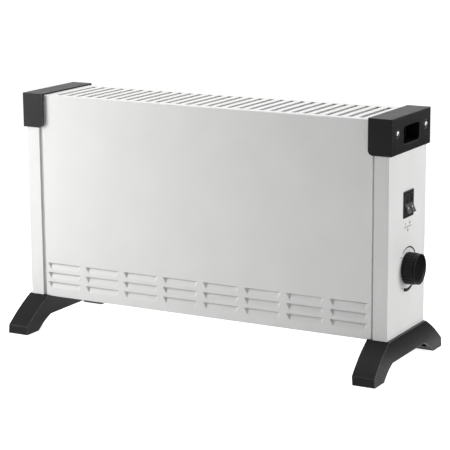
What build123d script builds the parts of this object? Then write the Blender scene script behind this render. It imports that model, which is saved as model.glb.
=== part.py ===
from build123d import *
from math import radians, tan
import os

# Free-standing convector heater.
# X runs along the heater and the controls are on its +X end. The louvred front
# faces -Y and +Z is up. The origin lies on the floor, in the middle of the
# heater's outline from the left foot to the front of the knob. All sizes are in mm.

# Casing
body_width = 560.0
body_depth = 122.0
body_bottom = 46.5
body_top = 338.0
sheet = 0.8
bend_radius = 1.6
panel_recess = 2.5
flange_width = 20.5
seam_gap = 3.7
seam_depth = 8.0
tongue_width = 14.0
return_flange = 12.0
rear_hem = 16.0
side_foot = 24.0
fit_gap = 0.3

# Louvres pressed into the lower front and rear
louvre_columns = 8
louvre_rows = 3
louvre_pitch = 64.0
louvre_row_pitch = 13.9
louvre_width = 56.0
louvre_foot_width = 46.0
louvre_height = 9.0
louvre_depth = 5.0
louvre_top = 96.0

# Slots and turned-down fins of the top
slot_count = 30
slot_pitch = 16.1
slot_width = 8.0
slot_front_rim = 10.0
slot_rear_rim = 12.0
fin_depth = 8.0

# Bottom plate
inlet_slot_width = 6.0
inlet_slot_length = 34.0
inlet_pitch = 14.0
inlet_columns = 30
inlet_row_offset = 21.0

# Handles
handle_length = 33.5
handle_height = 48.5
handle_proud = 4.5
handle_front_proud = 2.5
handle_top_proud = 2.5
handle_corner_radius = 7.0
handle_edge_radius = 1.2
grip_width = 52.0
grip_height = 23.0
grip_drop = 26.0
grip_depth = 20.0
grip_radius = 5.0
grip_wall = 2.0
grip_lip = 0.8
handle_screw_span = 92.0
handle_screw_drop = 20.5
handle_boss_radius = 6.0
handle_boss_recess = 0.6

# Feet
foot_width = 32.0
foot_proud = 3.5
foot_splay = 3.0
foot_span = 224.0
foot_toe_height = 12.0
foot_toe_length = 29.0
foot_arch_height = 18.5
foot_arch_flat = 106.0
foot_top_flat = 122.0
foot_wall = 2.4
foot_arch_fullness = 0.62
foot_crown_bulge = 2.5
foot_rib_count = 5
foot_screw_span = 64.0
foot_boss_radius = 5.0

# Fasteners
screw_shank_radius = 1.75
screw_head_radius = 3.4
screw_head_height = 2.2
screw_dome = 1.3
screw_cross_width = 0.8
screw_cross_length = 3.8
screw_cross_depth = 1.1
screw_grip = 6.0
screw_clearance = 0.25
rear_screw_margin = 26.0

# Controls on the right side panel
controls_y = 1.5
switch_height_z = 220.5
bezel_width = 31.0
bezel_height = 35.5
bezel_thickness = 2.0
bezel_chamfer = 0.7
switch_body_width = 27.0
switch_body_height = 30.5
switch_body_depth = 24.0
rocker_width = 11.2
rocker_radius = 13.2
rocker_gap = 0.35
rocker_pivot_depth = 1.5
rocker_face_height = 1.2
rocker_tilt = 12.0
rocker_pin_radius = 1.5
rocker_pin_length = 0.5
rocker_divider = 1.4
pin_running_gap = 0.06
terminal_width = 4.8
terminal_thickness = 0.8
terminal_length = 8.0
terminal_pitch = 9.0
terminal_rows = 3

# Thermostat
knob_height_z = 134.0
knob_radius = 21.5
knob_face_radius = 20.5
knob_reach = 19.0
knob_gap = 0.8
knob_drum_length = 10.0
knob_groove_depth = 2.0
knob_groove_length = 2.6
knob_flutes = 24
flute_radius = 1.3
knob_dish_depth = 2.0
knob_rim = 1.6
knob_hub_radius = 6.0
knob_wall = 2.5
shaft_radius = 3.0
bush_radius = 5.0
nut_radius = 8.0
nut_thickness = 2.6
nut_sides = 6
thermostat_width = 36.0
thermostat_height = 34.0
thermostat_corner = 3.0
thermostat_depth = 20.0
bush_length = 6.0

# Heating elements and what holds them
bracket_x = 205.0
bracket_height = 74.0
bracket_depth = 96.0
bracket_sheet = 1.0
bracket_foot = 14.0
board_spacing = 40.0
board_thickness = 1.2
board_height = 46.0
board_lift = 16.0
board_overhang = 5.0
wire_radius = 0.6
wire_turns = 22
wire_margin = 22.0
wire_notch = 1.6
partition_x = 232.0
partition_height = 232.0
partition_depth = 103.0
partition_foot = 14.0
cutout_z = 170.0
cutout_y = 0.0
cutout_radius = 8.0
cutout_thickness = 6.0

# Supply
gland_bore_radius = 3.8
gland_radius = 6.0
gland_flange_radius = 8.0
gland_flange = 2.0
gland_chamfer = 0.6
gland_length = 14.0
gland_x = 242.0
gland_y = 0.0
gland_nut_radius = 9.0
gland_nut = 4.0
block_length = 30.0
block_width = 18.0
block_height = 14.0
block_ways = 3
block_x = 266.0
block_entry_radius = 1.8

# Places worked out from the sizes above
half_width = body_width / 2
half_depth = body_depth / 2
foot_outer = half_width + foot_proud + foot_splay
knob_front = half_width + knob_reach
body_x = -(knob_front - foot_outer) / 2
panel_y = half_depth - panel_recess
tongue_y = panel_y - sheet
flange_edge = half_width - flange_width
panel_half = flange_edge - seam_gap
web_inner = half_width - sheet
inside_floor = body_bottom + sheet
plate_top = inside_floor + sheet
side_top = body_top - bend_radius
handle_top = body_top + handle_top_proud
handle_bottom = handle_top - handle_height
handle_outer = half_width + handle_proud
handle_inner = handle_outer - handle_length
handle_half_depth = half_depth + handle_front_proud
grip_z = handle_top - grip_drop
handle_screw_z = handle_top - handle_screw_drop
mid_plane = Plane.YZ.offset(body_x)

os.makedirs("parts", exist_ok=True)


def across(x):
    """Upright plane across the heater, x from the middle of the casing."""
    return Plane.YZ.offset(body_x + x)


def level(z):
    """Flat plane at height z, centred on the casing."""
    return Plane(origin=(body_x, 0, z), x_dir=(1, 0, 0), z_dir=(0, 0, 1))


def facing_front(y):
    """Upright plane along the heater at depth y, looked at from the front."""
    return Plane(origin=(body_x, y, 0), x_dir=(1, 0, 0), z_dir=(0, -1, 0))


def finish(builder, label):
    """Name a finished piece and write it."""
    builder.part.label = label
    export_step(builder.part, f"parts/{label}.step")


# Louvre punch: a wedge that is deepest at its upper edge, with slanted ends
def end_plane(top_half, foot_half, depth, height):
    """Plane through the slanted end facet of a louvre."""
    top = Vector(top_half, 0, 0)
    inner = Vector(foot_half, depth, 0)
    foot = Vector(foot_half, 0, -height)
    normal = (inner - top).cross(foot - top).normalized()
    if normal.X < 0:
        normal = -normal
    return Plane(origin=top, z_dir=normal)


def louvre_wedge(grow):
    """Pressed wedge, grown outwards by the sheet for its back face."""
    depth = louvre_depth + grow
    height = louvre_height + grow
    top_half = louvre_width / 2 + grow
    foot_half = louvre_foot_width / 2 + grow
    with BuildPart() as wedge:
        with BuildSketch(Plane.YZ):
            with BuildLine():
                Polyline((0, 0), (depth, 0), (0, -height), close=True)
            make_face()
        extrude(amount=top_half, both=True)
        cut = end_plane(top_half, foot_half, depth, height)
        split(bisect_by=cut, keep=Keep.BOTTOM)
        far_cut = Plane(origin=(-top_half, 0, 0), z_dir=(-cut.z_dir.X, cut.z_dir.Y, cut.z_dir.Z))
        split(bisect_by=far_cut, keep=Keep.BOTTOM)
    return wedge.part


louvre_hollow = louvre_wedge(0)
louvre_back = louvre_wedge(sheet)
louvre_first = -louvre_pitch * (louvre_columns - 1) / 2
front_louvres = [
    (body_x + louvre_first + column * louvre_pitch, -panel_y, louvre_top - row * louvre_row_pitch)
    for column in range(louvre_columns)
    for row in range(louvre_rows)
]
rear_louvres = [(x, tongue_y, z) for x, y, z in front_louvres]

# Folded sheet: louvred front, slotted top, a hem down the rear and a fold along the right seam
slot_length = 2 * panel_y - slot_front_rim - slot_rear_rim
slot_y = (slot_front_rim - slot_rear_rim) / 2
casing_height = body_top - body_bottom
fin_shift = -(slot_width - sheet) / 2

with BuildPart() as casing_sheet:
    with BuildSketch(across(-panel_half)):
        with Locations((0, (body_top + body_bottom) / 2)):
            RectangleRounded(2 * panel_y, casing_height, bend_radius)
            RectangleRounded(2 * panel_y - 2 * sheet, casing_height - 2 * sheet, bend_radius - sheet,
                             mode=Mode.SUBTRACT)
        with Locations((panel_y, body_bottom - sheet)):
            Rectangle(2 * panel_y - return_flange, casing_height + sheet - rear_hem,
                      align=(Align.MAX, Align.MIN), mode=Mode.SUBTRACT)
    extrude(amount=2 * panel_half)
    with Locations(*[Location(place) for place in front_louvres]):
        add(louvre_back)
    with Locations(*[Location(place) for place in front_louvres]):
        add(louvre_hollow, mode=Mode.SUBTRACT)
    with BuildSketch(level(body_top)):
        with Locations((0, slot_y)):
            with GridLocations(slot_pitch, 0, slot_count, 1):
                Rectangle(slot_width, slot_length)
    extrude(amount=-sheet, mode=Mode.SUBTRACT)
    with BuildSketch(level(body_top)):
        with Locations((fin_shift, slot_y)):
            with GridLocations(slot_pitch, 0, slot_count, 1):
                Rectangle(sheet, slot_length)
    extrude(amount=-fin_depth)
    with BuildSketch(level(plate_top + fit_gap)):
        with Locations((panel_half, -panel_y)):
            Rectangle(sheet, sheet + seam_depth, align=(Align.MAX, Align.MIN))
    extrude(amount=side_top - plate_top - 2 * fit_gap)
finish(casing_sheet, "casing_sheet")

# Rear panel, tucked inside the hem and screwed to the side panels' tongues
panel_top = body_top - bend_radius
rear_screw_x = panel_half - tongue_width / 2
rear_screw_places = [
    (side * rear_screw_x, z)
    for side in (-1, 1)
    for z in (louvre_top + rear_screw_margin, handle_bottom - rear_screw_margin)
]

with BuildPart() as rear_panel:
    with BuildSketch(across(-panel_half)):
        with Locations((tongue_y, body_bottom)):
            Rectangle(sheet, panel_top - body_bottom, align=(Align.MAX, Align.MIN))
            Rectangle(return_flange, sheet, align=(Align.MAX, Align.MIN))
    extrude(amount=2 * panel_half)
    with Locations(*[Location(place, (0, 0, 180)) for place in rear_louvres]):
        add(louvre_back)
    with Locations(*[Location(place, (0, 0, 180)) for place in rear_louvres]):
        add(louvre_hollow, mode=Mode.SUBTRACT)
    with BuildSketch(facing_front(tongue_y)):
        with Locations(*rear_screw_places):
            Circle(screw_shank_radius + screw_clearance)
    extrude(amount=sheet, mode=Mode.SUBTRACT)
finish(rear_panel, "rear_panel")

louvre_end = louvre_pitch * (louvre_columns - 1) / 2 + louvre_width / 2 + sheet
louvre_zone = (louvre_rows - 1) * louvre_row_pitch + louvre_height + 4 * louvre_depth

tongue_start = panel_half - tongue_width
step_x = flange_edge + sheet / 2
web_x = half_width - sheet / 2
flange_y = half_depth - sheet / 2
switch_cut_width = switch_body_width + 2 * fit_gap
switch_cut_height = switch_body_height + 2 * fit_gap
cup_width = grip_width + 2 * grip_wall
cup_height = grip_height + 2 * grip_wall
foot_screw_y = foot_screw_span / 2
handle_screw_y = handle_screw_span / 2
foot_screw_x = half_width + foot_proud - foot_width / 2
side_foot_length = 2 * (foot_screw_y + 2 * screw_head_radius)


def side_panel_shell(seam):
    """Folded side panel: web, flanges and joggled tongues, the front one set back by seam."""
    front_y = tongue_y - sheet / 2 - seam
    rear_y = tongue_y - 3 * sheet / 2
    with BuildPart() as shell:
        with BuildSketch(level(plate_top)):
            with BuildLine() as fold:
                Polyline((tongue_start, -front_y), (step_x, -front_y), (step_x, -flange_y),
                         (web_x, -flange_y), (web_x, flange_y), (step_x, flange_y),
                         (step_x, rear_y), (tongue_start, rear_y))
            trace(fold.line, sheet)
        extrude(amount=side_top - plate_top)
        with BuildSketch(level(plate_top)):
            with Locations((web_inner, 0)):
                Rectangle(side_foot, side_foot_length, align=(Align.MAX, Align.CENTER))
        extrude(amount=sheet)
        with BuildSketch(level(plate_top)):
            with Locations((foot_screw_x, foot_screw_y), (foot_screw_x, -foot_screw_y)):
                Circle(screw_shank_radius)
        extrude(amount=sheet, mode=Mode.SUBTRACT)
        with BuildSketch(across(web_inner)):
            with Locations((0, grip_z)):
                RectangleRounded(cup_width + 2 * fit_gap, cup_height + 2 * fit_gap, grip_radius)
            with Locations((handle_screw_y, handle_screw_z), (-handle_screw_y, handle_screw_z)):
                Circle(screw_shank_radius)
        extrude(amount=sheet, mode=Mode.SUBTRACT)
        with BuildSketch(facing_front(-tongue_y)):
            with Locations(*[(x, z) for x, z in rear_screw_places if x > 0]):
                Circle(screw_shank_radius)
            with Locations((louvre_end + fit_gap, louvre_top + 2 * louvre_depth)):
                Rectangle(2 * tongue_width, louvre_zone, align=(Align.MAX, Align.MAX))
        extrude(amount=-2 * tongue_y, mode=Mode.SUBTRACT)
    return shell.part


with BuildPart() as right_side_panel:
    add(side_panel_shell(seam_depth))
    with BuildSketch(across(web_inner)):
        with Locations((controls_y, switch_height_z)):
            Rectangle(switch_cut_width, switch_cut_height)
        with Locations((controls_y, knob_height_z)):
            Circle(bush_radius + fit_gap)
    extrude(amount=sheet, mode=Mode.SUBTRACT)
finish(right_side_panel, "right_side_panel")

with BuildPart() as left_side_panel:
    mirror(side_panel_shell(0), about=mid_plane)
finish(left_side_panel, "left_side_panel")

# Slotted bottom plate lying on the return flanges
plate_half_depth = panel_y - bend_radius - fit_gap
plate_half_width = flange_edge - seam_gap

with BuildPart() as bottom_grille:
    with BuildSketch(level(inside_floor)):
        Rectangle(2 * plate_half_width, 2 * plate_half_depth)
        with GridLocations(inlet_pitch, 2 * inlet_row_offset, inlet_columns, 2):
            SlotOverall(inlet_slot_length, inlet_slot_width, rotation=90, mode=Mode.SUBTRACT)
        with Locations((gland_x, gland_y)):
            Circle(gland_radius + fit_gap, mode=Mode.SUBTRACT)
    extrude(amount=sheet)
finish(bottom_grille, "bottom_grille")

# Handle: a moulded cap over the top corner with a cupped grip in its side
with BuildPart() as right_handle:
    with BuildSketch(facing_front(-handle_half_depth)):
        with BuildLine():
            Polyline(
                (handle_inner, handle_top),
                (handle_outer, handle_top),
                (handle_outer, handle_bottom),
                (handle_inner + handle_corner_radius, handle_bottom),
            )
            RadiusArc(
                (handle_inner + handle_corner_radius, handle_bottom),
                (handle_inner, handle_bottom + handle_corner_radius),
                handle_corner_radius,
            )
            Line((handle_inner, handle_bottom + handle_corner_radius), (handle_inner, handle_top))
        make_face()
    extrude(amount=-2 * handle_half_depth)
    outer_side = right_handle.faces().sort_by(Axis.X)[-1]
    fillet(outer_side.edges(), handle_edge_radius)
    with BuildSketch(level(handle_bottom)):
        with Locations((handle_inner, 0)):
            Rectangle(half_width - handle_inner, 2 * half_depth, align=(Align.MIN, Align.CENTER))
    extrude(amount=body_top - handle_bottom, mode=Mode.SUBTRACT)
    with BuildSketch(across(half_width)):
        with Locations((0, grip_z)):
            RectangleRounded(cup_width, cup_height, grip_radius)
    extrude(amount=-(grip_depth + grip_wall - handle_proud))
    with BuildSketch(across(handle_outer)):
        with Locations((0, grip_z)):
            RectangleRounded(grip_width, grip_height, grip_radius)
    extrude(amount=-grip_depth, mode=Mode.SUBTRACT)
    grip_rim = right_handle.faces().sort_by(Axis.X)[-1].inner_wires()[0]
    fillet(grip_rim.edges(), grip_lip)
    with BuildSketch(across(handle_outer - handle_boss_recess)):
        with Locations((handle_screw_y, handle_screw_z), (-handle_screw_y, handle_screw_z)):
            Circle(handle_boss_radius)
    extrude(amount=handle_boss_recess, mode=Mode.SUBTRACT)
    with BuildSketch(across(half_width)):
        with Locations((handle_screw_y, handle_screw_z), (-handle_screw_y, handle_screw_z)):
            Circle(screw_shank_radius + screw_clearance)
    extrude(amount=handle_proud, mode=Mode.SUBTRACT)
finish(right_handle, "right_handle")

with BuildPart() as left_handle:
    mirror(right_handle.part, about=mid_plane)
finish(left_handle, "left_handle")

# One screw, head at the origin's +Z side and shank below
head_seat = handle_outer - handle_boss_recess


def screw(shank):
    """Screw along Z with a domed, cross-recessed head, seated at z = 0."""
    with BuildPart() as made:
        with BuildSketch():
            Circle(screw_shank_radius)
        extrude(amount=-shank)
        with BuildSketch():
            Circle(screw_head_radius)
        extrude(amount=screw_head_height)
        fillet(made.edges().sort_by(Axis.Z)[-1], screw_dome)
        with BuildSketch(Plane.XY.offset(screw_head_height)):
            Rectangle(screw_cross_length, screw_cross_width)
            Rectangle(screw_cross_width, screw_cross_length)
        extrude(amount=-screw_cross_depth, mode=Mode.SUBTRACT)
    return made.part


handle_shank = handle_proud - handle_boss_recess + sheet + screw_grip
handle_screw_places = [
    Plane(origin=(body_x + side * head_seat, y, handle_screw_z), z_dir=(side, 0, 0)).location
    for side in (-1, 1)
    for y in (-handle_screw_y, handle_screw_y)
]
with BuildPart() as handle_screws:
    with Locations(*handle_screw_places):
        add(screw(handle_shank))
finish(handle_screws, "handle_screws")

with BuildPart() as rear_screws:
    with Locations(*[
        Plane(origin=(body_x + x, tongue_y, z), z_dir=(0, 1, 0)).location for x, z in rear_screw_places
    ]):
        add(screw(2 * sheet + screw_grip))
finish(rear_screws, "rear_screws")

# Foot: an arched moulding, hollow from below, with ribs and screw bosses
foot_half = foot_span / 2
foot_inner = half_width + foot_proud - foot_width
toe_inner = foot_half - foot_toe_length
arch_half = foot_arch_flat / 2
crown_half = foot_top_flat / 2
arch_knee_y = (toe_inner + arch_half) / 2
arch_knee_z = foot_arch_height * foot_arch_fullness
crown_knee_y = (crown_half + foot_half) / 2
crown_knee_z = (plate_top + foot_toe_height) / 2 + foot_crown_bulge
roof = plate_top - foot_wall
toe_roof = foot_toe_height + foot_wall
rib_pitch = 2 * arch_half / (foot_rib_count - 1)

with BuildPart() as right_foot:
    with BuildSketch(across(foot_inner)):
        with BuildLine():
            Line((-crown_half, plate_top), (crown_half, plate_top))
            ThreePointArc((crown_half, plate_top), (crown_knee_y, crown_knee_z), (foot_half, foot_toe_height))
            Polyline((foot_half, foot_toe_height), (foot_half, 0), (toe_inner, 0))
            ThreePointArc((toe_inner, 0), (arch_knee_y, arch_knee_z), (arch_half, foot_arch_height))
            Line((arch_half, foot_arch_height), (-arch_half, foot_arch_height))
            ThreePointArc((-arch_half, foot_arch_height), (-arch_knee_y, arch_knee_z), (-toe_inner, 0))
            Polyline((-toe_inner, 0), (-foot_half, 0), (-foot_half, foot_toe_height))
            ThreePointArc((-foot_half, foot_toe_height), (-crown_knee_y, crown_knee_z),
                          (-crown_half, plate_top))
        make_face()
    extrude(amount=foot_width + foot_splay)
    with BuildSketch(facing_front(-foot_half)):
        with BuildLine():
            Polyline((foot_inner, plate_top), (foot_inner + foot_splay, 0), (foot_inner, 0), close=True)
        make_face()
        with BuildLine():
            Polyline((foot_inner + foot_width, plate_top), (foot_inner + foot_width + foot_splay, 0),
                     (foot_inner + foot_width + foot_splay, plate_top), close=True)
        make_face()
    extrude(amount=-foot_span, mode=Mode.SUBTRACT)
    with BuildSketch(across(foot_inner + foot_splay + foot_wall)):
        with BuildLine():
            Line((-crown_half, roof), (crown_half, roof))
            Polyline((crown_half, roof), (toe_inner, toe_roof), (arch_knee_y, 0),
                     (-arch_knee_y, 0), (-toe_inner, toe_roof), (-crown_half, roof))
        make_face()
    extrude(amount=foot_width - 2 * foot_wall - foot_splay, mode=Mode.SUBTRACT)
    with BuildSketch(across(foot_inner + foot_splay)):
        with Locations((0, foot_arch_height)):
            with GridLocations(rib_pitch, 0, foot_rib_count, 1):
                Rectangle(foot_wall, roof - foot_arch_height, align=(Align.CENTER, Align.MIN))
    extrude(amount=foot_width - foot_splay)
    with BuildSketch(level(roof)):
        with Locations((foot_screw_x, foot_screw_y), (foot_screw_x, -foot_screw_y)):
            Circle(foot_boss_radius)
    extrude(amount=-foot_wall)
    with BuildSketch(level(plate_top)):
        with Locations((foot_screw_x, foot_screw_y), (foot_screw_x, -foot_screw_y)):
            Circle(screw_shank_radius + screw_clearance)
    extrude(amount=-2 * foot_wall, mode=Mode.SUBTRACT)
    with BuildSketch(level(body_bottom)):
        with Locations((foot_inner, 0)):
            Rectangle(panel_half + fit_gap - foot_inner, 2 * (panel_y + fit_gap),
                      align=(Align.MIN, Align.CENTER))
    extrude(amount=plate_top - body_bottom, mode=Mode.SUBTRACT)
finish(right_foot, "right_foot")

with BuildPart() as left_foot:
    mirror(right_foot.part, about=mid_plane)
finish(left_foot, "left_foot")

with BuildPart() as foot_screws:
    with Locations(*[
        Plane(origin=(body_x + side * foot_screw_x, y, roof - foot_wall), z_dir=(0, 0, -1)).location
        for side in (-1, 1)
        for y in (-foot_screw_y, foot_screw_y)
    ]):
        add(screw(2 * foot_wall + sheet + screw_grip))
finish(foot_screws, "foot_screws")

# Twin rocker switch in the side panel: housing with two round-bottomed pockets
bezel_face = half_width + bezel_thickness
pivot_x = bezel_face - rocker_pivot_depth
pocket_width = rocker_width + 2 * rocker_gap
pocket_pitch = pocket_width + rocker_divider
pocket_radius = rocker_radius + rocker_gap
housing_back = half_width - switch_body_depth
pivot_sides = (-pocket_pitch / 2, pocket_pitch / 2)

with BuildPart() as switch_housing:
    with BuildSketch(across(half_width)):
        with Locations((controls_y, switch_height_z)):
            Rectangle(bezel_width, bezel_height)
    extrude(amount=bezel_thickness)
    chamfer(switch_housing.faces().sort_by(Axis.X)[-1].edges(), bezel_chamfer)
    with BuildSketch(across(half_width)):
        with Locations((controls_y, switch_height_z)):
            Rectangle(switch_body_width, switch_body_height)
    extrude(amount=-switch_body_depth)
    with Locations(*[
        Plane(origin=(body_x + pivot_x, controls_y + y, switch_height_z), z_dir=(0, 1, 0)).location
        for y in pivot_sides
    ]):
        Cylinder(pocket_radius, pocket_width, mode=Mode.SUBTRACT)
        Cylinder(rocker_pin_radius + pin_running_gap, pocket_width + 2 * rocker_pin_length,
                 mode=Mode.SUBTRACT)
    with BuildSketch(across(housing_back)):
        with Locations((controls_y, switch_height_z)):
            with GridLocations(pocket_pitch, terminal_pitch, 2, terminal_rows):
                Rectangle(terminal_thickness, terminal_width)
    extrude(amount=-terminal_length)
finish(switch_housing, "switch_housing")


def rocker(y_offset):
    """Rocker with a shallow V face, its upper end pressed in."""
    rise = rocker_radius + rocker_gap
    lean = rise * tan(radians(rocker_tilt))
    pin_span = pocket_width + 2 * rocker_pin_length - 2 * pin_running_gap
    with BuildPart() as made:
        with Locations(Location((0, 0, 0), (90, 0, 0))):
            Cylinder(rocker_radius, rocker_width)
        with BuildSketch(Plane.XZ.offset(-rocker_width)):
            with BuildLine():
                Polyline((rocker_face_height, 0), (rocker_face_height + lean, rise),
                         (2 * rocker_radius, rise), (2 * rocker_radius, -rise),
                         (rocker_face_height + lean, -rise), close=True)
            make_face()
        extrude(amount=2 * rocker_width, mode=Mode.SUBTRACT)
        with Locations(Location((0, 0, 0), (90, 0, 0))):
            Cylinder(rocker_pin_radius, pin_span)
    return made.part.rotate(Axis.Y, -rocker_tilt).translate(
        (body_x + pivot_x, controls_y + y_offset, switch_height_z))


for label, y_offset in zip(("rocker_front", "rocker_rear"), pivot_sides):
    with BuildPart() as rocker_piece:
        add(rocker(y_offset))
    finish(rocker_piece, label)

# Thermostat: body behind the side panel, threaded bush through it and a nut outside
thermostat_front = web_inner - fit_gap
bush_top = half_width + bush_length

with BuildPart() as thermostat_body:
    with BuildSketch(across(thermostat_front)):
        with Locations((controls_y, knob_height_z)):
            RectangleRounded(thermostat_width, thermostat_height, thermostat_corner)
    extrude(amount=-thermostat_depth)
    with BuildSketch(across(thermostat_front)):
        with Locations((controls_y, knob_height_z)):
            Circle(bush_radius)
    extrude(amount=bush_top - thermostat_front)
    with BuildSketch(across(bush_top)):
        with Locations((controls_y, knob_height_z)):
            Circle(shaft_radius + pin_running_gap)
    extrude(amount=-(bush_top - thermostat_front + thermostat_depth / 2), mode=Mode.SUBTRACT)
    with BuildSketch(across(thermostat_front - thermostat_depth)):
        with Locations((controls_y, knob_height_z)):
            with GridLocations(0, thermostat_height / 2, 1, 2):
                Rectangle(terminal_width, terminal_thickness)
    extrude(amount=-terminal_length)
finish(thermostat_body, "thermostat_body")

with BuildPart() as thermostat_nut:
    with BuildSketch(across(half_width)):
        with Locations((controls_y, knob_height_z)):
            RegularPolygon(nut_radius, nut_sides)
            Circle(bush_radius, mode=Mode.SUBTRACT)
    extrude(amount=nut_thickness)
finish(thermostat_nut, "thermostat_nut")

shaft_start = thermostat_front - thermostat_depth / 2 + fit_gap
shaft_end = knob_front - knob_dish_depth - knob_wall

with BuildPart() as thermostat_shaft:
    with BuildSketch(across(shaft_start)):
        with Locations((controls_y, knob_height_z)):
            Circle(shaft_radius)
    extrude(amount=shaft_end - shaft_start)
finish(thermostat_shaft, "thermostat_shaft")

# Knob: fluted drum, groove and dished face, hollow behind round the nut
knob_back = half_width + knob_gap
drum_end = knob_back + knob_drum_length
groove_end = drum_end + knob_groove_length
hollow_radius = knob_radius - knob_groove_depth - knob_wall
hub_back = bush_top + fit_gap

with BuildPart() as thermostat_knob:
    with BuildSketch(across(knob_back)):
        with Locations((controls_y, knob_height_z)):
            Circle(knob_radius)
            with PolarLocations(knob_radius + flute_radius / 2, knob_flutes):
                Circle(flute_radius, mode=Mode.SUBTRACT)
    extrude(amount=knob_drum_length)
    with BuildSketch(across(drum_end)):
        with Locations((controls_y, knob_height_z)):
            Circle(knob_radius - knob_groove_depth)
    extrude(amount=knob_groove_length)
    with BuildSketch(across(groove_end)):
        with Locations((controls_y, knob_height_z)):
            Circle(knob_face_radius)
    extrude(amount=knob_front - groove_end)
    fillet(thermostat_knob.edges().filter_by(GeomType.CIRCLE).sort_by(Axis.X)[-1], knob_rim / 2)
    with BuildSketch(across(knob_front)):
        with Locations((controls_y, knob_height_z)):
            Circle(knob_face_radius - knob_rim)
    extrude(amount=-knob_dish_depth, mode=Mode.SUBTRACT)
    with BuildSketch(across(knob_back)):
        with Locations((controls_y, knob_height_z)):
            Circle(hollow_radius)
    extrude(amount=shaft_end - knob_back, mode=Mode.SUBTRACT)
    with BuildSketch(across(hub_back)):
        with Locations((controls_y, knob_height_z)):
            Circle(knob_hub_radius)
            Circle(shaft_radius, mode=Mode.SUBTRACT)
    extrude(amount=shaft_end - hub_back)
finish(thermostat_knob, "thermostat_knob")

# Element brackets: folded end plates standing on the bottom plate
board_bottom = plate_top + board_lift
board_sides = (-board_spacing / 2, board_spacing / 2)

with BuildPart() as element_bracket_right:
    with BuildSketch(across(bracket_x)):
        with Locations((0, plate_top)):
            Rectangle(bracket_depth, bracket_height, align=(Align.CENTER, Align.MIN))
        with Locations(*[(y, board_bottom) for y in board_sides]):
            Rectangle(board_thickness, board_height, align=(Align.CENTER, Align.MIN), mode=Mode.SUBTRACT)
    extrude(amount=bracket_sheet)
    with BuildSketch(level(plate_top)):
        with Locations((bracket_x + bracket_sheet, 0)):
            Rectangle(bracket_foot, bracket_depth, align=(Align.MAX, Align.CENTER))
    extrude(amount=bracket_sheet)
finish(element_bracket_right, "element_bracket_right")

with BuildPart() as element_bracket_left:
    mirror(element_bracket_right.part, about=mid_plane)
finish(element_bracket_left, "element_bracket_left")

# Heating elements: a notched board with resistance wire wound round it
board_half = bracket_x + bracket_sheet + board_overhang
wire_half = bracket_x - wire_margin
wire_pitch = 2 * wire_half / wire_turns
winding_height = board_height - 2 * wire_notch
winding_lean = wire_pitch / 2
winding_tilt = Vector(winding_lean, 0, winding_height).get_angle(Vector(0, 0, 1))
winding_length = (winding_lean ** 2 + winding_height ** 2) ** 0.5
winding_bottom = board_bottom + wire_notch
winding_middle = winding_bottom + winding_height / 2

for label, y in zip(("front", "rear"), board_sides):
    with BuildPart() as board:
        with BuildSketch(facing_front(y - board_thickness / 2)):
            with Locations((0, board_bottom)):
                Rectangle(2 * board_half, board_height, align=(Align.CENTER, Align.MIN))
            with Locations((0, winding_bottom)):
                with GridLocations(wire_pitch, 0, wire_turns + 1, 1):
                    Rectangle(2 * wire_radius, 2 * wire_notch, mode=Mode.SUBTRACT)
            with Locations((0, winding_bottom + winding_height)):
                with GridLocations(wire_pitch, 0, wire_turns, 1):
                    Rectangle(2 * wire_radius, 2 * wire_notch, mode=Mode.SUBTRACT)
        extrude(amount=-board_thickness)
    finish(board, f"element_board_{label}")

for label, y in zip(("front", "rear"), board_sides):
    face = board_thickness / 2
    wire = 2 * wire_radius
    reach = board_thickness / 2 + wire
    with BuildPart() as winding:
        with BuildSketch(facing_front(y - reach)):
            with Locations((-winding_lean / 2, winding_middle)):
                with GridLocations(wire_pitch, 0, wire_turns, 1):
                    Rectangle(wire, winding_length, rotation=-winding_tilt)
        extrude(amount=-wire)
        with BuildSketch(facing_front(y + face)):
            with Locations((winding_lean / 2, winding_middle)):
                with GridLocations(wire_pitch, 0, wire_turns, 1):
                    Rectangle(wire, winding_length, rotation=winding_tilt)
        extrude(amount=-wire)
        with BuildSketch(facing_front(y - reach)):
            with Locations((0, winding_bottom)):
                with GridLocations(wire_pitch, 0, wire_turns + 1, 1):
                    Rectangle(wire, wire)
            with Locations((0, winding_bottom + winding_height)):
                with GridLocations(wire_pitch, 0, wire_turns, 1):
                    Rectangle(wire, wire)
        extrude(amount=-2 * reach)
    finish(winding, f"heating_wire_{label}")

# Partition between the hot space and the controls, and the overheat cut-out on it
with BuildPart() as control_partition:
    with BuildSketch(across(partition_x)):
        with Locations((0, plate_top)):
            Rectangle(partition_depth, partition_height, align=(Align.CENTER, Align.MIN))
        with Locations((cutout_y, cutout_z)):
            Circle(cutout_radius / 2, mode=Mode.SUBTRACT)
    extrude(amount=sheet)
    with BuildSketch(level(plate_top)):
        with Locations((partition_x + sheet, 0)):
            Rectangle(partition_foot, partition_depth, align=(Align.MAX, Align.CENTER))
    extrude(amount=sheet)
finish(control_partition, "control_partition")

with BuildPart() as thermal_cutout:
    with BuildSketch(across(partition_x)):
        with Locations((cutout_y, cutout_z)):
            Circle(cutout_radius)
    extrude(amount=-cutout_thickness)
    with BuildSketch(across(partition_x)):
        with Locations((cutout_y, cutout_z)):
            Circle(cutout_radius / 2)
    extrude(amount=cutout_thickness)
    with BuildSketch(across(partition_x + cutout_thickness)):
        with Locations((cutout_y, cutout_z)):
            with GridLocations(cutout_radius / 2, 0, 2, 1):
                Rectangle(terminal_thickness, terminal_width)
    extrude(amount=terminal_length)
finish(thermal_cutout, "thermal_cutout")

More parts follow.
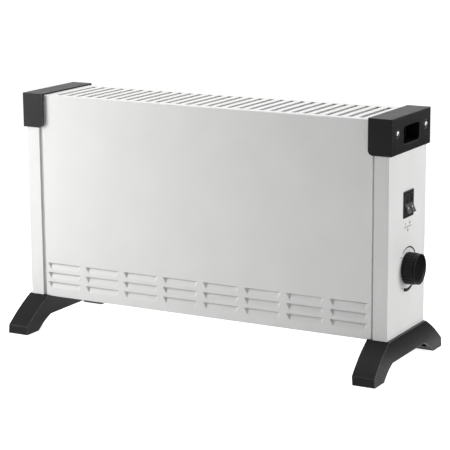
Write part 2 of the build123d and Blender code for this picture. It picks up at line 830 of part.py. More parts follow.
# Supply: gland through the bottom plate, its nut, and the terminal block beside it
with BuildPart() as cord_gland:
    with BuildSketch(level(inside_floor)):
        with Locations((gland_x, gland_y)):
            Circle(gland_flange_radius)
    extrude(amount=-gland_flange)
    chamfer(cord_gland.faces().sort_by(Axis.Z)[0].edges(), gland_chamfer)
    with BuildSketch(level(inside_floor)):
        with Locations((gland_x, gland_y)):
            Circle(gland_radius)
    extrude(amount=gland_length)
    with BuildSketch(level(inside_floor - gland_flange)):
        with Locations((gland_x, gland_y)):
            Circle(gland_bore_radius)
    extrude(amount=gland_flange + gland_length, mode=Mode.SUBTRACT)
finish(cord_gland, "cord_gland")

with BuildPart() as gland_nut_ring:
    with BuildSketch(level(plate_top)):
        with Locations((gland_x, gland_y)):
            RegularPolygon(gland_nut_radius, nut_sides)
            Circle(gland_radius, mode=Mode.SUBTRACT)
    extrude(amount=gland_nut)
finish(gland_nut_ring, "gland_nut")

block_pitch = block_length / block_ways
with BuildPart() as terminal_block:
    with BuildSketch(level(plate_top + sheet)):
        with Locations((block_x, 0)):
            Rectangle(block_width, block_length)
    extrude(amount=block_height)
    with BuildSketch(across(block_x - block_width / 2)):
        with Locations((0, plate_top + sheet + block_height / 2)):
            with GridLocations(block_pitch, 0, block_ways, 1):
                Circle(block_entry_radius)
    extrude(amount=block_width, mode=Mode.SUBTRACT)
finish(terminal_block, "terminal_block")
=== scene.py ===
"""Looks of a free-standing convector heater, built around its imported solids."""

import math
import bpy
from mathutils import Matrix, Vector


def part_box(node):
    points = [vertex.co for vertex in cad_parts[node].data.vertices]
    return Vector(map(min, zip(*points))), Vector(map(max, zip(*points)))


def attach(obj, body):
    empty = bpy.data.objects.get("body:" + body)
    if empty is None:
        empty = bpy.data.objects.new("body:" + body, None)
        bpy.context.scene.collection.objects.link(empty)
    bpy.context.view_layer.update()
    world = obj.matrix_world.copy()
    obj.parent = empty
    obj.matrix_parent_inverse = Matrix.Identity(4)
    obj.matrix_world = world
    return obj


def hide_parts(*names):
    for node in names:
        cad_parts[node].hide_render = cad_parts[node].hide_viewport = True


bl_info = {
    "name": "Convector heater",
    "version": (1, 0, 0),
    "blender": (4, 5, 0),
    "location": "3D View > Sidebar > Heater",
    "description": "Dresses a convector heater: coatings, mouldings, controls, prints and a plain stage",
    "category": "Object",
}

import bpy
import numpy as np
from bpy.props import FloatProperty, FloatVectorProperty, IntProperty, PointerProperty, StringProperty
from mathutils import Matrix, Vector

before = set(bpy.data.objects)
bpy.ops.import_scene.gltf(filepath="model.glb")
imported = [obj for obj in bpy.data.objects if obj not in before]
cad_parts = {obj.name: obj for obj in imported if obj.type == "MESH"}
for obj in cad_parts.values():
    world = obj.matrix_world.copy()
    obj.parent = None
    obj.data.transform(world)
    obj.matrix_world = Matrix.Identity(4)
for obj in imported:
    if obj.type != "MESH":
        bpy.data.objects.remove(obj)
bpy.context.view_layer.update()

MM = 0.001
CASING_LOW, CASING_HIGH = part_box("casing_sheet")
SIDE_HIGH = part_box("right_side_panel")[1]
KNOB_LOW, KNOB_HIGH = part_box("thermostat_knob")
BEZEL_LOW, BEZEL_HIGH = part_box("switch_housing")
CASING_X = (CASING_LOW.x + CASING_HIGH.x) / 2
SIDE_FACE = SIDE_HIGH.x
KNOB_Y = (KNOB_LOW.y + KNOB_HIGH.y) / 2
KNOB_Z = (KNOB_LOW.z + KNOB_HIGH.z) / 2
SWITCH_Y = (BEZEL_LOW.y + BEZEL_HIGH.y) / 2
SWITCH_Z = (BEZEL_LOW.z + BEZEL_HIGH.z) / 2


class HeaterFinish(bpy.types.PropertyGroup):
    """Colours of the heater's finishes, as sRGB hex."""

    coat_dark: StringProperty(name="Powder coat, thin", description="White where the coat is thin",
                              default="F1F1F0")
    coat_light: StringProperty(name="Powder coat, full", description="White where the coat is full",
                               default="F5F5F4")
    plastic_dark: StringProperty(name="Plastic, dark", description="Darker black of grips, feet and knob",
                                 default="0C0C0D")
    plastic_light: StringProperty(name="Plastic, light",
                                  description="Lighter black of grips, feet and knob", default="101011")
    # Painted highlight: pale grey painted along the plastic's edges, in place of light caught on them
    plastic_edge_highlight: StringProperty(name="Plastic, painted edge highlight", description="Grey of the highlight painted on the plastic's edges",
                                 default="8C8C8E")
    rocker: StringProperty(name="Rocker", description="Black of the polished rockers", default="1E1E20")
    dot: StringProperty(name="Dot", description="Ink of the rockers' dots", default="E8E8E6")
    ink: StringProperty(name="Dial print", description="Ink of the dial's scale", default="17171A")
    faint_ink: StringProperty(name="Switch print", description="Ink of the marks under the switch",
                              default="4C4C4E")


class HeaterSizes(bpy.types.PropertyGroup):
    """Sizes of the pieces made here."""

    hem_width: FloatProperty(name="Hem width", description="Width of the hem beside the left seam",
                             default=2.4 * MM, unit="LENGTH")
    hem_sheet: FloatProperty(name="Hem sheet", description="Thickness of the folded sheet",
                             default=0.8 * MM, unit="LENGTH")
    hem_gap: FloatProperty(name="Hem gap", description="Gap at the hem's lower and upper end",
                           default=0.4 * MM, unit="LENGTH")
    flutes: IntProperty(name="Flutes", description="Flutes round the knob's drum", default=24)
    flute_depth: FloatProperty(name="Flute depth", description="Depth of the flutes",
                               default=0.9 * MM, unit="LENGTH")
    drum_length: FloatProperty(name="Drum length", description="Length of the knob's fluted drum",
                               default=13.6 * MM, unit="LENGTH")
    groove_length: FloatProperty(name="Groove length", description="Length of the groove behind the face",
                                 default=2.0 * MM, unit="LENGTH")
    groove_depth: FloatProperty(name="Groove depth", description="Depth of the groove under the drum",
                                default=2.0 * MM, unit="LENGTH")
    face_step: FloatProperty(name="Face step", description="What the knob's face is smaller than its drum",
                             default=0.9 * MM, unit="LENGTH")
    rocker_tilt: FloatProperty(name="Rocker tilt", description="Lean of a rocker at rest",
                               default=math.radians(12), subtype="ANGLE")
    rocker_face: FloatProperty(name="Rocker face", description="Height of the rocker's face over its pivot",
                               default=1.2 * MM, unit="LENGTH")
    pivot_depth: FloatProperty(name="Pivot depth", description="Depth of the pivot under the bezel's face",
                               default=1.5 * MM, unit="LENGTH")
    dot_place: FloatProperty(name="Dot place", description="Distance of the dot down the raised face",
                             default=5.4 * MM, unit="LENGTH")
    dot_radius: FloatProperty(name="Dot radius", description="Radius of the dot",
                              default=1.1 * MM, unit="LENGTH")
    dial_radius: FloatProperty(name="Dial radius", description="Middle radius of the printed scale",
                               default=28.8 * MM, unit="LENGTH")
    dial_start: FloatProperty(name="Dial start", description="Angle of the scale's thin end",
                              default=math.radians(128), subtype="ANGLE")
    dial_end: FloatProperty(name="Dial end", description="Angle of the scale's thick end",
                            default=math.radians(-116), subtype="ANGLE")
    dial_thin: FloatProperty(name="Thin end", description="Width of the scale at its cold end",
                             default=1.2 * MM, unit="LENGTH")
    dial_thick: FloatProperty(name="Thick end", description="Width of the scale at its hot end",
                              default=4.6 * MM, unit="LENGTH")
    print_lift: FloatProperty(name="Print lift", description="Height of the prints over the coat",
                              default=0.06 * MM, unit="LENGTH")


class StageLight(bpy.types.PropertyGroup):
    """Camera, lamps and floor."""

    camera_place: FloatVectorProperty(name="Camera",
                                      description="Camera place from the casing's middle, on the floor",
                                      default=(1.16794, -2.08635, 0.68128), subtype="XYZ")
    azimuth: FloatProperty(name="Azimuth", description="Turn of the camera from the front to the controls",
                           default=math.radians(29.10), subtype="ANGLE")
    elevation: FloatProperty(name="Elevation", description="Angle by which the camera looks down",
                             default=math.radians(12.20), subtype="ANGLE")
    roll: FloatProperty(name="Roll", description="Turn of the camera about its own axis",
                        default=math.radians(-0.42), subtype="ANGLE")
    lens: FloatProperty(name="Lens", description="Focal length on a 36 mm sensor", default=140.81)
    key_power: FloatProperty(name="Key", description="Power of the left softbox", default=8.9, unit="POWER")
    side_power: FloatProperty(name="Side", description="Power of the right softbox",
                              default=11.2, unit="POWER")
    strip_power: FloatProperty(name="Strip", description="Power of the thin strip that lines the edges",
                               default=0.2, unit="POWER")
    top_power: FloatProperty(name="Top", description="Power of the overhead softbox",
                             default=12.8, unit="POWER")
    room_light: FloatProperty(name="Room light", description="Strength of the even light of the room",
                              default=0.12)
    floor_glow: FloatProperty(name="Floor glow", description="What the floor adds for camera and gloss",
                              default=0.93)
    floor_size: FloatProperty(name="Floor size", description="Half the side of the floor",
                              default=6.0, unit="LENGTH")
    floor_drop: FloatProperty(name="Floor drop", description="Gap between the floor and the toes",
                              default=0.3 * MM, unit="LENGTH")


def linear(code):
    """sRGB hex code to a linear RGBA colour."""
    parts = [int(code[i:i + 2], 16) / 255 for i in (0, 2, 4)]
    return tuple(c / 12.92 if c <= 0.04045 else ((c + 0.055) / 1.055) ** 2.4 for c in parts) + (1.0,)


def node(tree, kind, settings=None, inputs=None, links=None):
    """Adds a node, sets its attributes and sockets and links its inputs."""
    made = tree.nodes.new(kind)
    for name, value in (settings or {}).items():
        setattr(made, name, value)
    for name, value in (inputs or {}).items():
        made.inputs[name].default_value = value
    for name, source in (links or {}).items():
        tree.links.new(source, made.inputs[name])
    return made


def new_material(name, colour, roughness, metallic=0.0, specular=0.5):
    """Empty material with one shader; returns it with its tree and shader."""
    made = bpy.data.materials.new(name)
    made.use_nodes = True
    tree = made.node_tree
    shader = tree.nodes["Principled BSDF"]
    shader.inputs["Base Color"].default_value = linear(colour)
    shader.inputs["Roughness"].default_value = roughness
    shader.inputs["Metallic"].default_value = metallic
    if metallic == 0.0:
        shader.inputs["Specular IOR Level"].default_value = specular
    return made, tree, shader


def noise(tree, size, detail=2.0, roughness=0.5):
    """Noise on object coordinates whose grains are about size metres."""
    place = node(tree, "ShaderNodeTexCoord")
    return node(tree, "ShaderNodeTexNoise",
                inputs={"Scale": 1.0 / size, "Detail": detail, "Roughness": roughness},
                links={"Vector": place.outputs["Object"]})


def spread(tree, source, low, high, start=0.3, end=0.7):
    """Maps a 0 to 1 signal from start..end to low..high."""
    ranged = node(tree, "ShaderNodeMapRange",
                  inputs={"From Min": start, "From Max": end, "To Min": low, "To Max": high},
                  links={"Value": source})
    return ranged.outputs["Result"]


def tint(tree, source, dark, light):
    """Colour ramp from dark to light along the middle part of a 0 to 1 signal."""
    start, end = 0.3, 0.7
    ramp = node(tree, "ShaderNodeValToRGB", links={"Fac": source})
    ramp.color_ramp.elements[0].position = start
    ramp.color_ramp.elements[0].color = linear(dark)
    ramp.color_ramp.elements[1].position = end
    ramp.color_ramp.elements[1].color = linear(light)
    return ramp.outputs["Color"]


def bump(tree, shader, height, distance, strength=1.0, corner=0.0):
    """Bump of a height signal, over rounded corners where a corner radius is given."""
    made = node(tree, "ShaderNodeBump", inputs={"Strength": strength, "Distance": distance},
                links={"Height": height})
    if corner:
        rounded = node(tree, "ShaderNodeBevel", {"samples": 4}, {"Radius": corner})
        tree.links.new(rounded.outputs["Normal"], made.inputs["Normal"])
    tree.links.new(made.outputs["Normal"], shader.inputs["Normal"])


def edge_highlight_mask(tree, radius):
    """Mask of the painted edge highlight: 1 on a square edge, falling to 0 at radius from it.

    The signal is how far the rounded normal leaves the face's own: their dot product is
    square_match on a square edge and flat_match on a face that is flat to the eye.
    """
    square_match, flat_match = 0.76, 0.985
    rounded = node(tree, "ShaderNodeBevel", {"samples": 6}, {"Radius": radius})
    face = node(tree, "ShaderNodeNewGeometry")
    match = node(tree, "ShaderNodeVectorMath", {"operation": "DOT_PRODUCT"})
    tree.links.new(rounded.outputs["Normal"], match.inputs[0])
    tree.links.new(face.outputs["Normal"], match.inputs[1])
    return spread(tree, match.outputs["Value"], 1.0, 0.0, square_match, flat_match)


def powder_coat():
    """Polyester powder coat on steel sheet: satin, with a faint orange peel 1.6 mm across."""
    look = bpy.context.scene.heater_finish
    made, tree, shader = new_material("powder_coated_steel", look.coat_light, 0.42, specular=0.45)
    peel = noise(tree, 1.6 * MM, 1.0)
    film = noise(tree, 60 * MM, 2.0)
    tree.links.new(spread(tree, film.outputs["Fac"], 0.39, 0.45), shader.inputs["Roughness"])
    tree.links.new(tint(tree, film.outputs["Fac"], look.coat_dark, look.coat_light),
                   shader.inputs["Base Color"])
    bump(tree, shader, peel.outputs["Fac"], 0.02 * MM, 0.5, 0.4 * MM)
    return made


def moulded_black():
    """Black ABS moulded in a spark-eroded tool: fine matt grain, with a pale grey highlight painted along
    the softened edges.
    """
    look = bpy.context.scene.heater_finish
    made, tree, shader = new_material("moulded_black_abs", look.plastic_dark, 0.4, specular=0.16)
    grain = noise(tree, 0.7 * MM, 2.0, 0.6)
    flow = noise(tree, 25 * MM, 2.0)
    tree.links.new(spread(tree, flow.outputs["Fac"], 0.36, 0.43), shader.inputs["Roughness"])
    black = tint(tree, flow.outputs["Fac"], look.plastic_dark, look.plastic_light)
    # Painted highlight: pale grey mixed into the black along every edge, standing in for the light that
    # rounded edges catch
    black_with_highlight = node(tree, "ShaderNodeMixRGB", inputs={"Color2": linear(look.plastic_edge_highlight)},
                  links={"Fac": edge_highlight_mask(tree, 1.3 * MM), "Color1": black})
    tree.links.new(black_with_highlight.outputs["Color"], shader.inputs["Base Color"])
    bump(tree, shader, grain.outputs["Fac"], 0.05 * MM, 0.6, 0.9 * MM)
    return made


def polished_black():
    """Black polycarbonate from a polished tool: glossy, with handling haze."""
    look = bpy.context.scene.heater_finish
    made, tree, shader = new_material("polished_black_polycarbonate", look.rocker, 0.3, specular=0.5)
    haze = noise(tree, 6 * MM, 3.0)
    tree.links.new(spread(tree, haze.outputs["Fac"], 0.26, 0.38), shader.inputs["Roughness"])
    bump(tree, shader, haze.outputs["Fac"], 0.02 * MM, 0.4, 0.3 * MM)
    return made


def zinc_plate():
    """Bright zinc on a pressed screw: light metal with a fine rolled grain."""
    made, tree, shader = new_material("bright_zinc_plated_steel", "D4D6D8", 0.28, 1.0)
    grain = noise(tree, 0.5 * MM, 3.0)
    tree.links.new(spread(tree, grain.outputs["Fac"], 0.22, 0.36), shader.inputs["Roughness"])
    bump(tree, shader, grain.outputs["Fac"], 0.02 * MM, 0.5)
    return made


def galvanised_sheet():
    """Hot-dip galvanised sheet: dull metal with spangle a few millimetres wide."""
    made, tree, shader = new_material("galvanised_steel_sheet", "B4B8BA", 0.45, 1.0)
    place = node(tree, "ShaderNodeTexCoord")
    spangle = node(tree, "ShaderNodeTexVoronoi", inputs={"Scale": 1 / (7 * MM)},
                   links={"Vector": place.outputs["Object"]})
    cell = spangle.outputs["Distance"]
    tree.links.new(spread(tree, cell, 0.36, 0.56, 0.0, 1.0), shader.inputs["Roughness"])
    tree.links.new(tint(tree, cell, "A8ADB0", "C2C6C8"), shader.inputs["Base Color"])
    return made


def mica_board():
    """Pressed mica board: pale brown flakes under a dull gloss."""
    made, tree, shader = new_material("pressed_mica_board", "B9A883", 0.5)
    flakes = noise(tree, 3 * MM, 4.0, 0.7)
    tree.links.new(tint(tree, flakes.outputs["Fac"], "9C8A66", "CDBE9C"), shader.inputs["Base Color"])
    bump(tree, shader, flakes.outputs["Fac"], 0.1 * MM, 0.5)
    return made


def resistance_wire():
    """Drawn nickel-chrome wire, oxidised by heat."""
    made, tree, shader = new_material("oxidised_nichrome_wire", "7A6E66", 0.4, 1.0)
    oxide = noise(tree, 5 * MM, 3.0)
    tree.links.new(tint(tree, oxide.outputs["Fac"], "5E554F", "8C8078"), shader.inputs["Base Color"])
    return made


def moulded_beige():
    """Glass-filled nylon of the terminal block and thermostat body."""
    made, tree, shader = new_material("moulded_beige_nylon", "DAD2BC", 0.5)
    grain = noise(tree, 1.0 * MM, 2.0)
    tree.links.new(tint(tree, grain.outputs["Fac"], "D2C9B1", "E2DAC6"), shader.inputs["Base Color"])
    bump(tree, shader, grain.outputs["Fac"], 0.05 * MM, 0.5)
    return made


def print_ink(name, colour):
    """Pad-printed ink: thin, slightly uneven and matt."""
    made, tree, shader = new_material(name, colour, 0.55, specular=0.3)
    edge = noise(tree, 0.8 * MM, 2.0)
    tree.links.new(spread(tree, edge.outputs["Fac"], 0.48, 0.62), shader.inputs["Roughness"])
    bump(tree, shader, edge.outputs["Fac"], 0.01 * MM, 0.3)
    return made


def make_mesh(name, points, faces, material, body, smooth=True):
    """Mesh object from point and face arrays, riding on a body."""
    data = bpy.data.meshes.new(name)
    data.from_pydata([tuple(p) for p in points], [], [tuple(int(i) for i in f) for f in faces])
    data.polygons.foreach_set("use_smooth", [smooth] * len(data.polygons))
    data.materials.append(material)
    data.update()
    made = bpy.data.objects.new(name, data)
    bpy.context.scene.collection.objects.link(made)
    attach(made, body)
    return made


def lathe_grid(rings, turns):
    """Faces of a grid of rings by turns, closed round and open at both ends.

    Point number is ring * turns + turn, and each face joins two rings and two turns.
    """
    ring, turn = np.meshgrid(np.arange(rings - 1), np.arange(turns), indexing="ij")
    after = (turn + 1) % turns
    near, far = ring * turns, (ring + 1) * turns
    corners = [near + turn, near + after, far + after, far + turn]
    return np.stack([c.ravel() for c in corners], axis=1)


def assign(names, material):
    """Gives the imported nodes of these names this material."""
    for name in names:
        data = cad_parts[name].data
        data.materials.clear()
        data.materials.append(material)


def flat_piece(name, outline, ink, body):
    """Flat print from quads: outline is an array of quads by corners by coordinates."""
    outline = np.asarray(outline, float)
    faces = np.arange(len(outline) * 4).reshape(-1, 4)
    return make_mesh(name, outline.reshape(-1, 3), faces, ink, body, False)


def side_quads(centres, halves, lift):
    """Upright quads on the right side panel, from centres and half sizes in Y and Z.

    A corner is its centre with the half sizes added or taken away.
    """
    corners = np.array([(-1, -1), (1, -1), (1, 1), (-1, 1)])
    flat = np.asarray(centres, float)[:, None] + corners * np.asarray(halves, float)[:, None]
    return np.concatenate([np.full(flat.shape[:2] + (1,), SIDE_FACE + lift), flat], axis=2)


def ring_quads(centre, inner, outer, angles, lift):
    """Quads of a flat ring sector on the side panel; inner and outer may vary along it.

    A point is the centre plus its radius times the angle's cosine in Y and its sine in Z,
    and each quad joins two angles that are next to each other.
    """
    angles = np.asarray(angles, float)
    way = np.stack([np.cos(angles), np.sin(angles)], axis=1)
    near = np.asarray(centre) + way * np.broadcast_to(inner, angles.shape)[:, None]
    far = np.asarray(centre) + way * np.broadcast_to(outer, angles.shape)[:, None]
    flat = np.stack([near[:-1], near[1:], far[1:], far[:-1]], axis=1)
    return np.concatenate([np.full(flat.shape[:2] + (1,), SIDE_FACE + lift), flat], axis=2)


class HEATER_OT_casing(bpy.types.Operator):
    """Coats the folded casing, side panels, rear panel and bottom plate"""

    bl_idname = "heater.casing"
    bl_label = "Casing"

    def execute(self, context):
        coat = powder_coat()
        assign(["casing_sheet", "rear_panel", "left_side_panel", "right_side_panel", "bottom_grille"], coat)
        return {"FINISHED"}


class HEATER_OT_hem(bpy.types.Operator):
    """Rolls the hem on the left edge of the front sheet, beside the seam

    Its section ends in a half circle, whose radius is half the sheet's thickness, with
    two flat faces back to the sheet, and it runs straight up.
    """

    bl_idname = "heater.hem"
    bl_label = "Left hem"

    def execute(self, context):
        sizes = context.scene.heater_sizes
        sheet = sizes.hem_sheet
        left = CASING_LOW.x - sizes.hem_width
        front = CASING_LOW.y
        bottom, top = CASING_LOW.z + sizes.hem_gap, SIDE_HIGH.z - sizes.hem_gap
        # Half-round outer end, from the front face round to the rear face
        angles = np.linspace(math.pi * 1.5, math.pi * 0.5, 9)
        bend = np.stack([left + sheet / 2 + sheet / 2 * np.cos(angles),
                         front + sheet / 2 + sheet / 2 * np.sin(angles)], axis=1)
        section = np.vstack([[CASING_LOW.x, front], bend, [CASING_LOW.x, front + sheet]])
        levels = np.array([bottom, top])
        points = np.concatenate([np.column_stack([section, np.full(len(section), z)]) for z in levels])
        count = len(section)
        first = np.arange(count)
        after = (first + 1) % count
        walls = np.stack([first + count, after + count, after, first], axis=1).tolist()
        faces = walls + [list(range(count)), list(range(count, 2 * count))[::-1]]
        coat = bpy.data.materials["powder_coated_steel"]
        make_mesh("left_front_hem", points, faces, coat, "heater")
        return {"FINISHED"}


class HEATER_OT_mouldings(bpy.types.Operator):
    """Gives grips, feet, switch housing and gland their moulded plastic"""

    bl_idname = "heater.mouldings"
    bl_label = "Mouldings"

    def execute(self, context):
        plastic = moulded_black()
        names = ["left_handle", "right_handle", "left_foot", "right_foot", "switch_housing", "cord_gland",
                 "gland_nut", "thermostat_knob"]
        assign(names, plastic)
        assign(["rocker_front", "rocker_rear"], polished_black())
        assign(["thermostat_body", "terminal_block"], moulded_beige())
        return {"FINISHED"}


class HEATER_OT_insides(bpy.types.Operator):
    """Finishes what lies inside: brackets, partition, boards and wires"""

    bl_idname = "heater.insides"
    bl_label = "Insides"

    def execute(self, context):
        assign(["element_bracket_left", "element_bracket_right", "control_partition"], galvanised_sheet())
        assign(["element_board_front", "element_board_rear"], mica_board())
        assign(["heating_wire_front", "heating_wire_rear"], resistance_wire())
        assign(["handle_screws", "rear_screws", "foot_screws", "thermostat_nut", "thermostat_shaft",
                "thermal_cutout"], zinc_plate())
        return {"FINISHED"}


class HEATER_OT_knob(bpy.types.Operator):
    """Turns the knob: fluted drum, groove and a dished face inside a thin rim

    Each ring has a distance along X, a radius and a share of the flutes. A point's radius
    is its ring's, less the flute depth by that share and by a power of the cosine of the
    flutes' turns, where that cosine is positive.
    """

    bl_idname = "heater.knob"
    bl_label = "Knob"

    def execute(self, context):
        sizes = context.scene.heater_sizes
        rings = self.rings(sizes)
        points_per_flute = 16
        valley_power = 1.5
        turns = sizes.flutes * points_per_flute
        angle = np.linspace(0, 2 * math.pi, turns, endpoint=False)
        valley = np.clip(np.cos(angle * sizes.flutes), 0, 1) ** valley_power
        radius = rings[:, 1:2] - rings[:, 2:3] * sizes.flute_depth * valley
        points = np.stack([
            np.broadcast_to(rings[:, :1], radius.shape),
            KNOB_Y + radius * np.cos(angle),
            KNOB_Z + radius * np.sin(angle),
        ], axis=2).reshape(-1, 3)
        # A disc closes the hub and another the inside of the skirt
        ends = [list(range(turns))[::-1], list(range((len(rings) - 1) * turns, len(rings) * turns))]
        faces = lathe_grid(len(rings), turns).tolist() + ends
        plastic = bpy.data.materials["moulded_black_abs"]
        knob = make_mesh("fluted_knob", points, faces, plastic, "knob")
        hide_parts("thermostat_knob")
        return {"FINISHED"}

    def rings(self, sizes):
        """Distance, radius and flute share of each ring, from the skirt to the hub."""
        back, front = KNOB_LOW.x, KNOB_HIGH.x
        drum = (KNOB_HIGH.z - KNOB_LOW.z) / 2
        face = drum - sizes.face_step
        groove = drum - sizes.groove_depth
        drum_end = back + sizes.drum_length
        disc = drum_end + sizes.groove_length
        skirt = [
            (back + 3.0 * MM, drum - 4.5 * MM, 0.0),
            (back + 0.1 * MM, drum - 4.4 * MM, 0.0),
            (back, drum - 0.9 * MM, 0.0),
            (back + 0.25 * MM, drum - 0.25 * MM, 0.35),
            (back + 0.8 * MM, drum, 0.8),
        ]
        flutes = [
            (back + 1.6 * MM, drum, 1.0),
            (drum_end - 2.0 * MM, drum - 0.3 * MM, 1.0),
            (drum_end - 0.8 * MM, drum - 0.5 * MM, 0.75),
            (drum_end - 0.2 * MM, drum - 1.0 * MM, 0.3),
        ]
        groove_floor = [
            (drum_end, groove, 0.0),
            (disc, groove, 0.0),
        ]
        rim = [
            (disc + 0.2 * MM, groove + 0.6 * MM, 0.0),
            (disc + 0.4 * MM, face - 0.25 * MM, 0.0),
            (disc + 0.7 * MM, face, 0.0),
            (front - 0.5 * MM, face, 0.0),
            (front - 0.15 * MM, face - 0.15 * MM, 0.0),
            (front, face - 0.5 * MM, 0.0),
            (front, face - 1.0 * MM, 0.0),
        ]
        dish = [
            (front - 0.3 * MM, face - 1.3 * MM, 0.0),
            (front - 1.5 * MM, face - 2.0 * MM, 0.0),
            (front - 1.9 * MM, face - 4.0 * MM, 0.0),
            (front - 2.0 * MM, 3.0 * MM, 0.0),
            (front - 2.0 * MM, 0.03 * MM, 0.0),
        ]
        return np.array(skirt + flutes + groove_floor + rim + dish)


class HEATER_OT_rocker_dots(bpy.types.Operator):
    """Prints the white dot on the raised end of each rocker

    At rest a rocker's lower flat leans out by twice the tilt, from a ridge over the
    pivot. The dot is a disc on that flat: its rim is the dot's middle plus the radius
    times the cosine of an angle across the rocker and its sine up the flat.
    """

    bl_idname = "heater.rocker_dots"
    bl_label = "Rocker dots"

    def execute(self, context):
        sizes = context.scene.heater_sizes
        white = print_ink("white_pad_print", context.scene.heater_finish.dot)
        tilt = sizes.rocker_tilt
        slope = 2 * tilt
        pivot = np.array([BEZEL_HIGH.x - sizes.pivot_depth, 0, SWITCH_Z])
        start = pivot + sizes.rocker_face * np.array([math.cos(tilt), 0, math.sin(tilt)])
        down = np.array([math.sin(slope), 0, -math.cos(slope)])
        out = np.array([math.cos(slope), 0, math.sin(slope)])
        across = np.array([0, 1.0, 0])
        lift = 0.05 * MM
        points = 24
        angles = np.linspace(0, 2 * math.pi, points + 1)[:-1]
        for name in ("rocker_front", "rocker_rear"):
            low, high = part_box(name)
            middle = start + down * sizes.dot_place + out * lift + across * (low.y + high.y) / 2
            rim = middle + sizes.dot_radius * (
                np.cos(angles)[:, None] * across - np.sin(angles)[:, None] * down)
            faces = [list(range(len(rim)))]
            make_mesh(f"{name}_dot", rim, faces, white, name, False)
        return {"FINISHED"}


class HEATER_OT_prints(bpy.types.Operator):
    """Prints the growing scale round the knob and plain marks under the switch"""

    bl_idname = "heater.prints"
    bl_label = "Side prints"

    def execute(self, context):
        finish = context.scene.heater_finish
        sizes = context.scene.heater_sizes
        self.dial(sizes, print_ink("black_pad_print", finish.ink))
        self.switch_marks(sizes.print_lift, print_ink("grey_pad_print", finish.faint_ink))
        return {"FINISHED"}

    def dial(self, sizes, ink):
        """Scale that grows clockwise in width, with a short tick outside each end.

        Its width grows evenly with the angle, from the thin end to the thick one.
        """
        lift = sizes.print_lift
        off_y, off_z = 2.6 * MM, -1.2 * MM
        centre = (KNOB_Y + off_y, KNOB_Z + off_z)
        share = np.linspace(0, 1, 121)
        angles = sizes.dial_start + (sizes.dial_end - sizes.dial_start) * share
        middle = sizes.dial_radius
        half = (sizes.dial_thin + (sizes.dial_thick - sizes.dial_thin) * share) / 2
        scale = ring_quads(centre, middle - half, middle + half, angles, lift)
        flat_piece("dial_scale_print", scale, ink, "heater")
        # Angles in radians from the scale's ends to its ticks
        before_start, after_end = 0.22, 0.2
        ends = np.array([sizes.dial_start + before_start, sizes.dial_end - after_end])
        tick_radius = middle + 1.0 * MM
        places = np.asarray(centre) + tick_radius * np.stack([np.cos(ends), np.sin(ends)], axis=1)
        half_width, half_height = 1.1 * MM, 0.9 * MM
        ticks = side_quads(places, np.array([(half_width, half_height)] * 2), lift)
        flat_piece("dial_end_ticks", ticks, ink, "heater")

    def switch_marks(self, lift, ink):
        """One bar under the front rocker, two under the rear one, a rule and a small ring."""
        base = BEZEL_LOW.z
        middle = SWITCH_Y + 0.5 * MM
        bar_z, rule_z, ring_z = base - 8.5 * MM, base - 13.0 * MM, base - 17.5 * MM
        bars = [(SWITCH_Y + y * MM, bar_z) for y in (-6.5, 5.5, 7.7)]
        half_bar, half_rule = (0.6 * MM, 1.7 * MM), (12.0 * MM, 0.4 * MM)
        ring_inner, ring_outer = 1.1 * MM, 2.0 * MM
        marks = [
            side_quads(bars, [half_bar] * len(bars), lift),
            side_quads([(middle, rule_z)], [half_rule], lift),
            ring_quads((middle, ring_z), ring_inner, ring_outer, np.linspace(0, 2 * math.pi, 33), lift),
        ]
        flat_piece("switch_marks_print", np.concatenate(marks), ink, "heater")


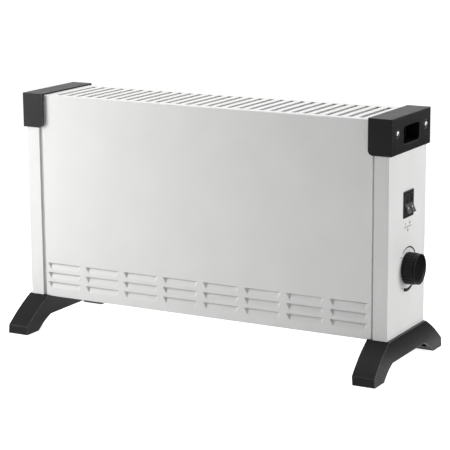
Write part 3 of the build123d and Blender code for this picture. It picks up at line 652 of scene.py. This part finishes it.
class HEATER_OT_stage(bpy.types.Operator):
    """Sets floor, background, lamps and camera"""

    bl_idname = "heater.stage"
    bl_label = "Stage"

    def execute(self, context):
        scene = context.scene
        light = scene.heater_light
        self.floor(scene, light)
        self.flag(scene)
        self.world(scene, light.room_light)
        controls_x = CASING_X + 0.28
        self.lamp("key_softbox", place=(-0.94, -0.68, 0.44), target=(CASING_X - 0.14, 0, 0.2),
                  width=0.6, height=0.9, power=light.key_power)
        self.lamp("side_softbox", place=(1.5, 0.45, 0.5), target=(controls_x, 0, 0.2),
                  width=0.6, height=0.9, power=light.side_power)
        self.lamp("top_softbox", place=(-0.1, 0.25, 1.5), target=(CASING_X, 0, 0.28),
                  width=1.2, height=0.7, power=light.top_power)
        self.lamp("edge_strip", place=(1.35, -0.95, 0.4), target=(controls_x, -0.06, 0.2),
                  width=0.06, height=0.8, power=light.strip_power)
        self.camera(scene, light)
        return {"FINISHED"}

    def floor(self, scene, light):
        """Wide square floor, a hair under the toes."""
        half, level = light.floor_size, -light.floor_drop
        data = bpy.data.meshes.new("floor")
        corners = [(-half, -half, level), (half, -half, level), (half, half, level), (-half, half, level)]
        data.from_pydata(corners, [], [(0, 1, 2, 3)])
        data.materials.append(self.floor_material(light.floor_glow))
        floor = bpy.data.objects.new("floor", data)
        scene.collection.objects.link(floor)

    def flag(self, scene):
        """Black card just over the floor beside the controls, seen by reflections alone."""
        near_x, far_x, back_y, level = 0.31, 2.2, 2.6, 0.002
        front_near_y, front_far_y = 0.03, -0.3
        corners = [(near_x, front_near_y, level), (far_x, front_far_y, level),
                   (far_x, back_y, level), (near_x, back_y, level)]
        data = bpy.data.meshes.new("black_flag")
        data.from_pydata(corners, [], [(0, 1, 2, 3)])
        data.materials.append(new_material("black_card", "050505", 0.9, specular=0.0)[0])
        flag = bpy.data.objects.new("black_flag", data)
        scene.collection.objects.link(flag)
        flag.visible_camera = False
        flag.visible_diffuse = False
        flag.visible_transmission = False
        flag.visible_shadow = False

    def floor_material(self, strength):
        """Pale floor that takes the heater's shadow and reads white in the camera."""
        made, tree, shader = new_material("pale_floor", "E4E4E4", 0.9, specular=0.0)
        output = tree.nodes["Material Output"]
        path = node(tree, "ShaderNodeLightPath")
        glow = node(tree, "ShaderNodeEmission", inputs={"Color": (1, 1, 1, 1), "Strength": strength})
        dark = node(tree, "ShaderNodeEmission", inputs={"Strength": 0.0})
        pick = node(tree, "ShaderNodeMixShader", links={"Fac": self.seen(tree, path)})
        tree.links.new(dark.outputs[0], pick.inputs[1])
        tree.links.new(glow.outputs[0], pick.inputs[2])
        both = node(tree, "ShaderNodeAddShader")
        tree.links.new(shader.outputs[0], both.inputs[0])
        tree.links.new(pick.outputs[0], both.inputs[1])
        tree.links.new(both.outputs[0], output.inputs["Surface"])
        return made

    def seen(self, tree, path):
        """1 for camera, glossy and transmission rays, else 0."""
        total = path.outputs["Is Camera Ray"]
        for kind in ("Is Glossy Ray", "Is Transmission Ray"):
            joined = node(tree, "ShaderNodeMath", {"operation": "ADD", "use_clamp": True})
            tree.links.new(total, joined.inputs[0])
            tree.links.new(path.outputs[kind], joined.inputs[1])
            total = joined.outputs[0]
        return total

    def world(self, scene, strength):
        """Soft even room light; white where the camera, gloss or glass look at it."""
        world = bpy.data.worlds.new("studio")
        scene.world = world
        world.use_nodes = True
        tree = world.node_tree
        room = tree.nodes["Background"]
        room.inputs["Color"].default_value = (1, 1, 1, 1)
        room.inputs["Strength"].default_value = strength
        white = node(tree, "ShaderNodeBackground", inputs={"Color": (1, 1, 1, 1), "Strength": 1.0})
        path = node(tree, "ShaderNodeLightPath")
        mix = node(tree, "ShaderNodeMixShader", links={"Fac": self.seen(tree, path)})
        tree.links.new(room.outputs[0], mix.inputs[1])
        tree.links.new(white.outputs[0], mix.inputs[2])
        tree.links.new(mix.outputs[0], tree.nodes["World Output"].inputs["Surface"])

    def lamp(self, name, place, target, width, height, power):
        """Rectangular softbox at place, turned to target."""
        data = bpy.data.lights.new(name, "AREA")
        data.shape = "RECTANGLE"
        data.size = width
        data.size_y = height
        data.energy = power
        made = bpy.data.objects.new(name, data)
        bpy.context.scene.collection.objects.link(made)
        aim = Vector(target) - Vector(place)
        made.matrix_world = Matrix.Translation(place) @ aim.to_track_quat("-Z", "Y").to_matrix().to_4x4()

    def camera(self, scene, light):
        """Camera fitted to the photograph: place, three angles and lens."""
        data = bpy.data.cameras.new("camera")
        data.sensor_width = 36
        data.lens = light.lens
        made = bpy.data.objects.new("camera", data)
        scene.collection.objects.link(made)
        azimuth, elevation, roll = light.azimuth, light.elevation, light.roll
        level = math.cos(elevation)
        right = Vector((math.cos(azimuth), math.sin(azimuth), 0))
        back = Vector((math.sin(azimuth) * level, -math.cos(azimuth) * level, math.sin(elevation)))
        up = back.cross(right)
        turned_right = right * math.cos(roll) + up * math.sin(roll)
        turned_up = up * math.cos(roll) - right * math.sin(roll)
        turn = Matrix((turned_right, turned_up, back)).transposed().to_4x4()
        place = Vector(light.camera_place) + Vector((CASING_X, 0, 0))
        made.matrix_world = Matrix.Translation(place) @ turn
        scene.camera = made


class HEATER_PT_panel(bpy.types.Panel):
    """Lists the heater's operators in the sidebar"""

    bl_label = "Convector heater"
    bl_idname = "HEATER_PT_panel"
    bl_space_type = "VIEW_3D"
    bl_region_type = "UI"
    bl_category = "Heater"

    def draw(self, context):
        for operator in OPERATORS:
            self.layout.operator(operator.bl_idname)


OPERATORS = (HEATER_OT_casing, HEATER_OT_hem, HEATER_OT_mouldings, HEATER_OT_insides, HEATER_OT_knob,
             HEATER_OT_rocker_dots, HEATER_OT_prints, HEATER_OT_stage)
GROUPS = (("heater_finish", HeaterFinish), ("heater_sizes", HeaterSizes), ("heater_light", StageLight))


def register():
    for name, group in GROUPS:
        bpy.utils.register_class(group)
        setattr(bpy.types.Scene, name, PointerProperty(type=group))
    for kind in OPERATORS + (HEATER_PT_panel,):
        bpy.utils.register_class(kind)


def unregister():
    for kind in (HEATER_PT_panel,) + OPERATORS:
        bpy.utils.unregister_class(kind)
    for name, group in GROUPS:
        delattr(bpy.types.Scene, name)
        bpy.utils.unregister_class(group)


def main():
    """Makes every piece in order."""
    register()
    bpy.context.scene.view_settings.view_transform = "Standard"
    for operator in OPERATORS:
        group, name = operator.bl_idname.split(".")
        getattr(getattr(bpy.ops, group), name)()


if __name__ == "__main__":
    main()
